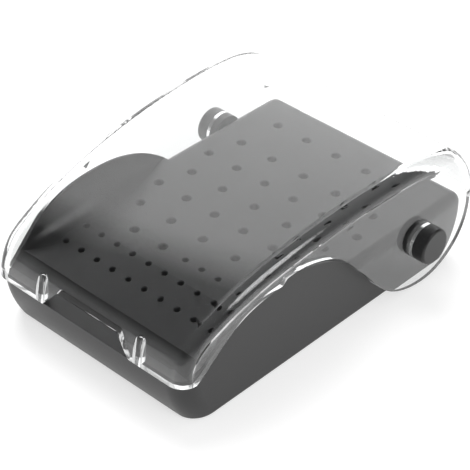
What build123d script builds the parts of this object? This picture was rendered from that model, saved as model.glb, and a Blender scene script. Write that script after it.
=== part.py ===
"""Bur block: a drilled base with raised side cheeks, and a clear cover that swings up at the rear.

All sizes are in millimetres. X runs across the block, +Y to the rear and +Z up.
The origin is the middle of the footprint, on the table.
"""
import math
import os

from build123d import *

# Base block
base_width = 70.0
platform_height = 19.5
ledge_height = 14.2
lip_front = -58.5
foot_front = -53.5
ledge_back = -55.8
front_crease = -50.5
front_crease_height = 17.0
slope_start = -31.5
base_corner = 6.0
base_rear_radius = 21.35
base_rear_round = 3.0
foot_round = 1.2

# Side cheeks of the base: height of the crest along the side, and width of its foot
cheek_crest = [(-53.4, 14.2), (-44.2, 22.2), (-37.5, 26.6), (-30.0, 28.6), (-21.0, 29.2)]
cheek_end = 5.3
cheek_land = 0.6
cheek_hollow = 0.16
cheek_sections = [(-53.6, 1.2), (-50.0, 4.2), (-43.0, 6.2), (-32.0, 6.3), (-21.0, 7.4),
                  (-12.0, 5.8), (-4.0, 3.5), (2.0, 1.2), (6.0, 0.7)]

# Holes for the bur shanks
large_shank = 2.35
small_shank = 1.6
shank_clearance = 0.1
large_mouth = 3.0
small_mouth = 2.05
hole_depth = 12.0
five_pitch = 12.0
rear_pitch = 11.2
six_pitch = 10.83
small_pitch = 6.0
five_rows = [26.3, 5.8, -14.6]
rear_row = 40.4
six_rows = [16.0, -4.4]
mixed_row = -24.4
small_rows = [-32.2, -39.7]

# Clear cover
wall = 2.4
front_overhang = 0.3
flare_front = 0.0655
flare_rear = 0.022
cover_edge_round = 5.0
fit_gap = 0.3
front_wall = [(-58.5, 10.2), (-58.3, 19.0)]
roof_points = [(-54.6, 25.6), (-48.0, 29.8), (-38.6, 33.7), (-21.6, 38.0), (0.7, 40.9), (21.6, 41.7)]
rear_turn = [(79.5, 1.78), (55.1, 2.16), (35.6, 1.17)]
rear_edge_height = 21.5
rear_low_height = 14.0
arch_points = [(-50.9, 17.0), (-44.4, 23.0), (-38.5, 27.0), (-31.5, 29.4), (-24.5, 30.4)]
arch_step = 1.5
arch_peak = (-18.0, 32.4)
arch_fall = [(-10.3, 31.0), (-4.3, 28.4), (0.8, 24.0)]

# Hinge ears of the cover
ear_front = [(4.6, 20.0), (7.8, 16.3), (11.9, 11.3), (15.9, 7.0), (19.7, 4.3)]
ear_bottom = [(24.9, 2.2), (31.2, 1.3), (37.4, 2.1)]
ear_rear = [(43.2, 5.2), (47.0, 9.0), (49.7, 14.6), (50.5, 20.8)]

# Thumb notch and the two ribs inside the front wall
notch_bottom_half = 16.1
notch_top_half = 11.3
notch_height = 5.6
notch_round = 1.5
rib_width = 3.5
rib_height = 7.3
rib_place = 18.2

# Hinge pins
hinge_y = 31.9
hinge_z = 15.1
pin_radius = 5.4
pin_clearance = 0.08
pin_stand_out = 3.8
pin_edge_round = 0.7
stem_radius = 2.6
stem_length = 7.0
stem_clearance = 0.02

# Values that follow from the sizes above
half_base = base_width / 2
rear_sheet_radius = base_rear_radius + fit_gap + wall
rear_edge = hinge_y + math.sqrt(rear_sheet_radius ** 2 - (rear_edge_height - hinge_z) ** 2)
cover_length = rear_edge - lip_front
far = 200.0
skirt = 30.0


def half_width(y):
    """Half width of the cover at y: it widens to the rear, so that its ears pass outside the base."""
    run = y - lip_front
    return half_base + front_overhang + flare_front * run + (flare_rear - flare_front) * run ** 2 / (2 * cover_length)


def side_face(*edges):
    """Face in the side view from edges drawn in (y, z)."""
    return Plane.YZ * make_face(list(edges))


def across(face, half):
    """Prism of a side view face, from -half to +half across the block."""
    return extrude(face, half, both=True)


def parallel(curve, distance, count=24):
    """Curve at a set distance on the right-hand side of another."""
    points = []
    for i in range(count + 1):
        place = curve @ (i / count)
        along = curve % (i / count)
        points.append((place.X + along.Y * distance, place.Y - along.X * distance))
    return Spline(*points)


def crest_height(y):
    """Height of the cheek's rear arc at y: level at the top, and down to the platform at its end."""
    top_y, top_z = cheek_crest[-1]
    run = cheek_end - top_y
    drop = top_z - platform_height
    radius = (run ** 2 + drop ** 2) / (2 * drop)
    return top_z - radius + math.sqrt(radius ** 2 - (y - top_y) ** 2)


def platform_level(y):
    """Height of the drilled surface at y."""
    if y > slope_start:
        return platform_height
    if y > front_crease:
        part = (slope_start - y) / (slope_start - front_crease)
        return platform_height + part * (front_crease_height - platform_height)
    part = min((front_crease - y) / (front_crease - ledge_back), 1.0)
    return front_crease_height + part * (ledge_height - front_crease_height)


def crest_level(y):
    """Height of the cheek's crest at y, read from the outline."""
    top_y = cheek_crest[-1][0]
    if y >= top_y:
        return crest_height(y)
    for (y0, z0), (y1, z1) in zip(cheek_crest, cheek_crest[1:]):
        if y <= y1:
            return z0 + (max(y, y0) - y0) / (y1 - y0) * (z1 - z0)
    return cheek_crest[-1][1]


def rear_face(z):
    """Point (y, z) of the base's rear face, which is round about the hinge line."""
    return hinge_y + math.sqrt(base_rear_radius ** 2 - (z - hinge_z) ** 2), z


def base_outline():
    """Side view of the base with its cheeks."""
    top_y, top_z = cheek_crest[-1]
    middle = (top_y + cheek_end) / 2
    rear_top = rear_face(platform_height)
    rear_foot = rear_face(0)
    crest = Spline(*cheek_crest, tangents=[(1.0, 0.45), (1.0, 0.0)])
    fall = ThreePointArc((top_y, top_z), (middle, crest_height(middle)), (cheek_end, platform_height))
    lip = Spline((foot_front, 0), (lip_front, ledge_height), tangents=[(-0.62, 1.0), (-0.1, 1.0)])
    return side_face(
        Line(rear_foot, (foot_front, 0)),
        lip,
        Line((lip_front, ledge_height), cheek_crest[0]),
        crest,
        fall,
        Line((cheek_end, platform_height), rear_top),
        ThreePointArc(rear_top, rear_face(hinge_z), rear_foot),
    )


def core_outline():
    """Side view of the base between its cheeks."""
    return side_face(
        Polyline(
            (far, -1), (-far, -1), (-far, ledge_height),
            (ledge_back, ledge_height), (front_crease, front_crease_height),
            (slope_start, platform_height), (far, platform_height), close=True,
        )
    )


def cheek_section(y, foot):
    """Cross-section of one cheek: a hollow flank from the crest down to its foot."""
    low = platform_level(y)
    high = max(crest_level(y), low + 0.02) if y < cheek_end else low - 0.02
    inner_top = half_base - cheek_land
    inner_foot = half_base - foot
    middle_x = (inner_top + inner_foot) / 2 + cheek_hollow * (high - low)
    middle_z = (high + low) / 2 - cheek_hollow * (inner_top - inner_foot)
    below = low - 3.0
    outside = half_base + 2.0
    face = make_face([
        Line((outside, below), (outside, high + 0.5)),
        Line((outside, high + 0.5), (inner_top, high)),
        ThreePointArc((inner_top, high), (middle_x, middle_z), (inner_foot, low)),
        Line((inner_foot, low), (inner_foot, below)),
        Line((inner_foot, below), (outside, below)),
    ])
    plane = Plane(origin=(0, y, 0), x_dir=(1, 0, 0), z_dir=(0, -1, 0))
    return plane * face


def hole_tool(shank, mouth):
    """Bore for a shank with a countersunk mouth, standing in the origin."""
    bore = shank / 2 + shank_clearance / 2
    lead = mouth / 2 - bore
    tool = Pos(0, 0, -hole_depth) * Cylinder(
        bore, hole_depth + 3, align=(Align.CENTER, Align.CENTER, Align.MIN)
    )
    return tool + Pos(0, 0, -lead) * Cone(
        bore, mouth / 2, lead, align=(Align.CENTER, Align.CENTER, Align.MIN)
    ) + Cylinder(mouth / 2, 3, align=(Align.CENTER, Align.CENTER, Align.MIN))


def row(count, pitch, y, tool, shift=0.0):
    """A row of hole tools along X."""
    return [
        Pos((i - (count - 1) / 2) * pitch + shift, y, platform_level(y)) * tool
        for i in range(count)
    ]


def all_holes():
    """Every hole of the block."""
    large = hole_tool(large_shank, large_mouth)
    small = hole_tool(small_shank, small_mouth)
    tools = row(5, rear_pitch, rear_row, large)
    for y in five_rows:
        tools += row(5, five_pitch, y, large)
    for y in six_rows:
        tools += row(6, six_pitch, y, large)
    tools += row(2, six_pitch, mixed_row, large, shift=-six_pitch)
    tools += row(4, small_pitch, mixed_row, small, shift=2 * small_pitch)
    for y in small_rows:
        tools += row(10, small_pitch, y, small)
    return tools


def hinge_bore(radius, depth):
    """Two blind bores on the hinge line, one in each side of the base."""
    tools = []
    for side in (-1, 1):
        start = Plane(origin=(side * (half_base - depth), hinge_y, hinge_z), z_dir=(side, 0, 0))
        tools.append(extrude(start * Circle(radius), depth + 1))
    return tools


def make_base():
    """The moulded base with its cheeks, holes and hinge bores."""
    body = across(base_outline(), half_base)
    rear = body.faces().sort_by(Axis.Y)[-1]
    body = fillet([e for e in rear.edges() if e.center().X ** 2 > 1], base_rear_round)
    rear_top = body.edges().filter_by(Axis.X).sort_by(Axis.Y)[-1]
    body = fillet(rear_top, base_rear_round)
    lips = [
        e for e in body.edges()
        if abs(abs(e.center().X) - half_base) < 0.01 and e.center().Y < ledge_back
        and 1 < e.center().Z < ledge_height - 0.5
    ]
    body = fillet(lips, base_corner)
    core = across(core_outline(), half_base + 1)
    cheek = loft([cheek_section(y, foot) for y, foot in cheek_sections])
    inside = core + cheek + mirror(cheek, about=Plane.YZ)
    body = body & inside
    underside = body.faces().sort_by(Axis.Z)[0]
    body = fillet(underside.edges(), foot_round)
    return body - all_holes() - hinge_bore(stem_radius + stem_clearance, stem_length)


def plan_prism(inset, low=-20.0, high=80.0):
    """Upright prism with the plan outline of the cover, less an inset on each side."""
    front_y = lip_front - 10
    rear_y = rear_edge + 10
    reach = (rear_y - front_y) / 2
    front_x = half_width(front_y) - inset
    rear_x = half_width(rear_y) - inset
    front_slope = flare_front - (flare_rear - flare_front) * 10 / cover_length
    turn_x = front_x + front_slope * reach
    turn_y = front_y + reach
    right = Bezier((front_x, front_y), (turn_x, turn_y), (rear_x, rear_y))
    left = Bezier((-rear_x, rear_y), (-turn_x, turn_y), (-front_x, front_y))
    face = make_face([
        right,
        Line((rear_x, rear_y), (-rear_x, rear_y)),
        left,
        Line((-front_x, front_y), (front_x, front_y)),
    ])
    return extrude(Pos(0, 0, low) * face, high - low)


def roof_curve():
    """Outer side view of the cover: up the front wall, over the roof and round the hinge at the rear."""
    turn = []
    for degrees, swell in rear_turn:
        angle = math.radians(degrees)
        radius = rear_sheet_radius + swell
        turn.append((hinge_y + radius * math.cos(angle), hinge_z + radius * math.sin(angle)))
    rear = [(rear_edge, rear_edge_height), (rear_edge + 0.2, rear_low_height)]
    return Spline(*front_wall, *roof_points, *turn, *rear)


def hood(curve, inset, rounding):
    """Solid under a side view curve, within the plan outline, with its long edges rounded and a skirt."""
    first = curve @ 0
    last = curve @ 1
    face = side_face(curve, Line((last.X, last.Y), (first.X, first.Y)))
    solid = across(face, far) & plan_prism(inset)
    flanks = [f for f in solid.faces() if abs(f.center().X) > 20]
    edges = [
        e for f in flanks for e in f.edges()
        if e.length > 60 and e.center().Z > (first.Y + last.Y) / 2 + 5
    ]
    solid = fillet(edges, rounding)
    foot = solid.faces().sort_by(Axis.Z)[0]
    return solid + extrude(foot, skirt, dir=(0, 0, -1))


def cover_outline():
    """Whole side view of the cover, with the arch over the cheek and the hinge ear."""
    foot = ledge_height + fit_gap
    step_y, step_z = arch_points[-1]
    start = (arch_points[0][0] - 3.0, foot)
    raised = (step_y + arch_step, step_z + arch_step)
    return side_face(
        Polyline(
            ear_rear[-1], (rear_edge - wall, rear_edge_height), (far, rear_edge_height),
            (far, far), (-far, far), (-far, foot), start,
        ),
        Spline(start, *arch_points),
        Line((step_y, step_z), raised),
        Spline(raised, arch_peak, *arch_fall, *ear_front, *ear_bottom, *ear_rear),
    )


def rib(side):
    """Bullet-shaped rib on the inside of the front wall."""
    radius = rib_width / 2
    y = lip_front + wall
    foot = ledge_height + fit_gap
    upright = Pos(side * rib_place, y, foot) * Cylinder(
        radius, rib_height - radius, align=(Align.CENTER, Align.CENTER, Align.MIN)
    )
    return upright + Pos(side * rib_place, y, foot + rib_height - radius) * Sphere(radius)


def thumb_notch():
    """Cut in the lower edge of the front wall, for the thumb."""
    foot = ledge_height + fit_gap
    face = make_face(Polyline(
        (-notch_bottom_half, foot), (notch_bottom_half, foot),
        (notch_top_half, foot + notch_height), (-notch_top_half, foot + notch_height), close=True,
    ))
    face = fillet(face.vertices().sort_by(Axis.Y)[-2:], notch_round)
    below = make_face(Polyline(
        (-notch_bottom_half, foot), (notch_bottom_half, foot),
        (notch_bottom_half, foot - 5), (-notch_bottom_half, foot - 5), close=True,
    ))
    plane = Plane(origin=(0, lip_front - 5, 0), x_dir=(1, 0, 0), z_dir=(0, -1, 0))
    return extrude(plane * (face + below), -12)


def make_cover():
    """The clear moulded cover with its two hinge ears."""
    roof = roof_curve()
    outside = hood(roof, 0, cover_edge_round)
    space = hood(parallel(roof, wall), wall, cover_edge_round - wall)
    shell = (outside - space) & across(cover_outline(), far)
    ribs = (rib(-1) + rib(1)) & outside
    bore = Plane(origin=(0, hinge_y, hinge_z), z_dir=(1, 0, 0)) * Circle(pin_radius + pin_clearance)
    return shell + ribs - thumb_notch() - extrude(bore, far, both=True)


def make_pin(side):
    """Round hinge pin: a wide journal through the ear and a stem pressed into the base."""
    length = half_width(hinge_y) + pin_stand_out - half_base
    journal = Plane(origin=(side * half_base, hinge_y, hinge_z), z_dir=(side, 0, 0))
    pin = extrude(journal * Circle(pin_radius), length)
    outer = pin.edges().sort_by(Axis.X)
    rim = outer[-1] if side > 0 else outer[0]
    pin = fillet(rim, pin_edge_round)
    stem = Plane(origin=(side * (half_base - stem_length), hinge_y, hinge_z), z_dir=(side, 0, 0))
    return pin + extrude(stem * Circle(stem_radius), stem_length)


def main():
    """Build each piece and write it out."""
    os.makedirs("parts", exist_ok=True)
    pieces = {
        "base": make_base(),
        "cover": make_cover(),
        "hinge_pin_right": make_pin(1),
        "hinge_pin_left": make_pin(-1),
    }
    for name, shape in pieces.items():
        export_step(shape, f"parts/{name}.step")


main()
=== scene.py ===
import math

import bpy
from mathutils import Matrix, Vector

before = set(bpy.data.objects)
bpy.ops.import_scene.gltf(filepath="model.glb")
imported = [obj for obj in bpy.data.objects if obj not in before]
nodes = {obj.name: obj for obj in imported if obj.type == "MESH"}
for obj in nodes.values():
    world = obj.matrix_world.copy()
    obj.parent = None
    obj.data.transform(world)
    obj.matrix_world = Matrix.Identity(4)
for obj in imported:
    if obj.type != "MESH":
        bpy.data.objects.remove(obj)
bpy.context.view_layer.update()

mm = 0.001


# Shader maths

class Sock:
    # a socket of a material, or of the world, that can be used in sums
    def __init__(self, shader, socket):
        self.shader = shader
        self.socket = socket

    def maths(self, operation, *values):
        return self.shader.node("ShaderNodeMath", {"operation": operation}, *values)

    def __add__(self, other):
        return self.maths("ADD", self, other)

    def __radd__(self, other):
        return self.maths("ADD", other, self)

    def __sub__(self, other):
        return self.maths("SUBTRACT", self, other)

    def __rsub__(self, other):
        return self.maths("SUBTRACT", other, self)

    def __mul__(self, other):
        return self.maths("MULTIPLY", self, other)

    def __rmul__(self, other):
        return self.maths("MULTIPLY", other, self)


class Shader:
    # builds the node tree of one material or of the world
    def __init__(self, tree):
        self.tree = tree
        tree.nodes.clear()

    def node(self, kind, settings=None, *values, out=0, **named):
        made = self.tree.nodes.new(kind)
        for name, value in (settings or {}).items():
            setattr(made, name, value)
        for place, value in list(enumerate(values)) + list(named.items()):
            key = place if isinstance(place, int) else place.replace("_", " ")
            self.feed(made.inputs[key], value)
        return Sock(self, made.outputs[out]) if made.outputs else made

    def feed(self, socket, value):
        if isinstance(value, Sock):
            self.tree.links.new(value.socket, socket)
        else:
            socket.default_value = value

    def clamp(self, value, low=0.0, high=1.0):
        return self.node("ShaderNodeClamp", None, value, low, high)

    def stretch(self, value, low, high, toLow=0.0, toHigh=1.0):
        return self.node("ShaderNodeMapRange", {"clamp": True}, value, low, high, toLow, toHigh)

    def greater(self, one, two):
        return self.node("ShaderNodeMath", {"operation": "MAXIMUM"}, one, two)

    def noise(self, where, scale, detail, roughness):
        return self.node("ShaderNodeTexNoise", None, Vector=where, Scale=scale, Detail=detail,
                         Roughness=roughness)

    def objectPlace(self):
        return self.node("ShaderNodeTexCoord", None, out="Object")

    def lightPath(self, name):
        return self.node("ShaderNodeLightPath", None, out=name)

    def mixColour(self, share, one, two):
        made = self.tree.nodes.new("ShaderNodeMix")
        made.data_type = "RGBA"
        for key, value in (("Factor_Float", share), ("A_Color", one), ("B_Color", two)):
            self.feed(next(s for s in made.inputs if s.identifier == key), value)
        return Sock(self, next(s for s in made.outputs if s.identifier == "Result_Color"))


def grey(level):
    return (level, level, level, 1.0)


def newMaterial(name):
    material = bpy.data.materials.new(name)
    material.use_nodes = True
    return material, Shader(material.node_tree)


# Black satin moulding of the base

baseFinish = {
    "colour": (0.018, 0.018, 0.0185, 1.0),
    "dust": (0.034, 0.034, 0.035, 1.0),
    "roughness": 0.36,
    "ior": 1.5,
    "grain": {"scale": 2600.0, "detail": 4.0, "roughness": 0.6},
    "grainHeight": 0.012 * mm,
    "grainRough": 0.10,         # how far the grain changes the roughness
    "cloud": {"scale": 38.0, "detail": 3.0, "roughness": 0.55},
    "cloudRough": 0.12,
    "film": (0.40, 0.68),       # from where to where in the cloud a film of dust sets in
    "filmShare": 0.35,
    "speck": {"scale": 900.0, "detail": 2.0, "roughness": 0.4},
    "speckEdge": (0.66, 0.74),
    "speckShare": 0.25,
}


def blackSatin():
    material, s = newMaterial("black_satin")
    place = s.objectPlace()
    grain = s.noise(place, **baseFinish["grain"])
    cloud = s.noise(place, **baseFinish["cloud"])
    specks = s.stretch(s.noise(place, **baseFinish["speck"]), *baseFinish["speckEdge"])
    film = s.stretch(cloud, *baseFinish["film"]) * baseFinish["filmShare"]
    dusty = s.clamp(film + specks * baseFinish["speckShare"])
    colour = s.mixColour(dusty, baseFinish["colour"], baseFinish["dust"])
    uneven = (grain - 0.5) * baseFinish["grainRough"] + (cloud - 0.5) * baseFinish["cloudRough"]
    rough = s.clamp(baseFinish["roughness"] + uneven)
    bump = s.node("ShaderNodeBump", None, Height=grain, Distance=baseFinish["grainHeight"], Strength=1.0)
    bsdf = s.node("ShaderNodeBsdfPrincipled", None, Base_Color=colour, Roughness=rough, Normal=bump,
                  IOR=baseFinish["ior"])
    s.node("ShaderNodeOutputMaterial", None, bsdf)
    return material


# Clear moulding of the cover

coverFinish = {
    "tint": (0.90, 0.905, 0.905, 1.0),
    "roughness": 0.015,
    "ior": 1.49,
    "flow": {"scale": 26.0, "detail": 2.0, "roughness": 0.4},
    "flowHeight": 0.02 * mm,
    "haze": {"scale": 240.0, "detail": 4.0, "roughness": 0.6},
    "hazeEdge": (0.5, 0.8),
    "hazeRough": 0.03,
    "lampShare": 0.86,          # how much of a lamp's light each face lets through
}


def clearCover():
    material, s = newMaterial("clear")
    place = s.objectPlace()
    flow = s.noise(place, **coverFinish["flow"])
    haze = s.noise(place, **coverFinish["haze"])
    rough = coverFinish["roughness"] + s.stretch(haze, *coverFinish["hazeEdge"]) * coverFinish["hazeRough"]
    bump = s.node("ShaderNodeBump", None, Height=flow, Distance=coverFinish["flowHeight"], Strength=1.0)
    glass = s.node("ShaderNodeBsdfPrincipled", None, Base_Color=coverFinish["tint"], Roughness=rough,
                   Normal=bump, IOR=coverFinish["ior"], Transmission_Weight=1.0)
    passed = s.node("ShaderNodeBsdfTransparent", None, Color=grey(coverFinish["lampShare"]))
    both = s.node("ShaderNodeMixShader", None, s.lightPath("Is Shadow Ray"), glass, passed)
    s.node("ShaderNodeOutputMaterial", None, both)
    return material


# Black hinge pins

pinFinish = {
    "colour": (0.010, 0.010, 0.0105, 1.0),
    "worn": (0.035, 0.035, 0.035, 1.0),
    "roughness": 0.36,
    "grain": {"scale": 1800.0, "detail": 3.0, "roughness": 0.6},
    "grainHeight": 0.03 * mm,
    "scuff": {"scale": 420.0, "detail": 5.0, "roughness": 0.7},
    "scuffEdge": (0.55, 0.72),
    "scuffRough": 0.2,
}


def blackPin():
    material, s = newMaterial("black_pin")
    place = s.objectPlace()
    grain = s.noise(place, **pinFinish["grain"])
    scuff = s.stretch(s.noise(place, **pinFinish["scuff"]), *pinFinish["scuffEdge"])
    colour = s.mixColour(scuff, pinFinish["colour"], pinFinish["worn"])
    rough = s.clamp(pinFinish["roughness"] + scuff * pinFinish["scuffRough"])
    bump = s.node("ShaderNodeBump", None, Height=grain, Distance=pinFinish["grainHeight"], Strength=1.0)
    bsdf = s.node("ShaderNodeBsdfPrincipled", None, Base_Color=colour, Roughness=rough, Normal=bump)
    s.node("ShaderNodeOutputMaterial", None, bsdf)
    return material


def coat(names, material):
    for name in names:
        nodes[name].data.materials.clear()
        nodes[name].data.materials.append(material)


coat(["base"], blackSatin())
coat(["cover"], clearCover())
coat(["hinge_pin_right", "hinge_pin_left"], blackPin())
print("finishes done")


# Camera at the photograph's angle

view = {
    "pitch": math.radians(36.971),
    "yaw": math.radians(42.448),
    "roll": math.radians(1.113),
    "place": (0.27613, -0.30402, 0.32287),
    "lens": 142.14,
    "sensor": 36.0,
    "nearest": 0.01,
    "furthest": 20.0,
}


def addCamera():
    pitch, yaw, roll = view["pitch"], view["yaw"], view["roll"]
    ahead = Vector((-math.sin(yaw) * math.cos(pitch), math.cos(yaw) * math.cos(pitch), -math.sin(pitch)))
    level = Vector((math.cos(yaw), math.sin(yaw), 0.0))
    upright = level.cross(ahead)
    right = math.cos(roll) * level + math.sin(roll) * upright
    up = math.cos(roll) * upright - math.sin(roll) * level
    data = bpy.data.cameras.new("camera")
    data.lens = view["lens"]
    data.sensor_width = view["sensor"]
    data.clip_start = view["nearest"]
    data.clip_end = view["furthest"]
    camera = bpy.data.objects.new("camera", data)
    turn = Matrix((right, up, -ahead)).transposed()
    camera.matrix_world = Matrix.Translation(view["place"]) @ turn.to_4x4()
    bpy.context.scene.collection.objects.link(camera)
    bpy.context.scene.camera = camera


addCamera()
print("camera done")


# Pale floor

floorFinish = {
    "size": 6.0,
    "colour": 0.55,
    "glow": 0.58,           # own light that the camera sees, so that the floor is white
    "glowMirrored": 0.56,   # the same for rays that a shiny face mirrors or a clear one bends
    "glowThrough": 0.10,    # added to it for the bent ones
}


def addFloor():
    bpy.ops.object.select_all(action="DESELECT")
    bpy.ops.mesh.primitive_plane_add(size=floorFinish["size"], location=(0.0, 0.0, 0.0))
    floor = bpy.context.object
    floor.name = "floor"
    material, s = newMaterial("floor_paper")
    paper = s.node("ShaderNodeBsdfDiffuse", None, Color=grey(floorFinish["colour"]))
    seen = (s.lightPath("Is Camera Ray") * floorFinish["glow"]
            + s.lightPath("Is Glossy Ray") * floorFinish["glowMirrored"]
            + s.lightPath("Is Transmission Ray") * floorFinish["glowThrough"])
    scattered = s.clamp(s.lightPath("Diffuse Depth"))
    glow = s.node("ShaderNodeEmission", None, Color=grey(1.0), Strength=seen * (1 - scattered))
    both = s.node("ShaderNodeAddShader", None, paper, glow)
    s.node("ShaderNodeOutputMaterial", None, both)
    floor.data.materials.append(material)


# White surround, and the soft boxes that shiny faces mirror

studio = {
    "around": 0.55,                     # level of the surround for soft light
    "through": 0.52,                    # level of the surround seen through the cover
    "dim": 0.05,                        # what shiny faces mirror from above, in front and the right
    "bright": 1.9,                      # and from the left and behind
    "softboxWay": (-0.945, 0.326, 0.0),
    "softboxEdge": (0.52, 0.60),
    "low": 0.6,                         # and from all round near the table
    "lowEdge": (0.40, 0.12),
    "strip": 6.0,                       # and from a small lamp high on the right
    "stripWay": (0.62, 0.18, 0.763),
    "stripEdge": (0.965, 0.985),
    "inner": 0.8,                       # level after more than one mirroring, as inside the cover's edges
}


def addWorld():
    world = bpy.data.worlds.new("studio")
    bpy.context.scene.world = world
    world.use_nodes = True
    s = Shader(world.node_tree)
    way = s.node("ShaderNodeTexCoord", None, out="Generated")    # in the world this is the ray's direction
    split = s.node("ShaderNodeSeparateXYZ", None, way)
    right, ahead, up = [Sock(s, socket) for socket in split.socket.node.outputs]

    def towards(x, y, z):
        return right * x + ahead * y + up * z

    softbox = s.stretch(towards(*studio["softboxWay"]), *studio["softboxEdge"],
                        studio["dim"], studio["bright"])
    strip = s.stretch(towards(*studio["stripWay"]), *studio["stripEdge"], 0.0, studio["strip"])
    near = s.stretch(up, *studio["lowEdge"], 0.0, studio["low"])
    once = s.greater(s.greater(softbox, near), strip)
    inside = s.clamp(s.lightPath("Glossy Depth") - 1)
    gloss = inside * studio["inner"] + (1 - inside) * once
    mirrored = s.clamp(s.lightPath("Glossy Depth"))
    straight = s.lightPath("Is Camera Ray") + s.lightPath("Is Transmission Ray") * studio["through"]
    shown = mirrored * gloss + (1 - mirrored) * straight
    scattered = s.clamp(s.lightPath("Diffuse Depth"))
    level = scattered * studio["around"] + (1 - scattered) * shown
    back = s.node("ShaderNodeBackground", None, Color=grey(1.0), Strength=level)
    s.node("ShaderNodeOutputWorld", None, back)
    world.cycles.sampling_method = "NONE"


# Soft lamps, which only light and are not mirrored

lamps = {
    "key": {"place": (-0.55, 0.35, 0.85), "size": 0.7, "power": 9.0},
    "fill": {"place": (0.75, -0.25, 0.55), "size": 0.6, "power": 3.0},
}
bounces = {"max_bounces": 24, "transmission_bounces": 24, "glossy_bounces": 12}    # for the many clear faces


def addLamp(name, place, size, power):
    data = bpy.data.lights.new(name, "AREA")
    data.size = size
    data.energy = power
    lamp = bpy.data.objects.new(name, data)
    lamp.location = place
    lamp.visible_glossy = False
    lamp.visible_transmission = False
    lamp.rotation_mode = "QUATERNION"
    lamp.rotation_quaternion = (-Vector(place)).to_track_quat("-Z", "Y")
    bpy.context.scene.collection.objects.link(lamp)


addFloor()
addWorld()
for name, settings in lamps.items():
    addLamp(name, **settings)
bpy.context.scene.view_settings.view_transform = "Standard"
for name, limit in bounces.items():
    setattr(bpy.context.scene.cycles, name, limit)
print("studio done")
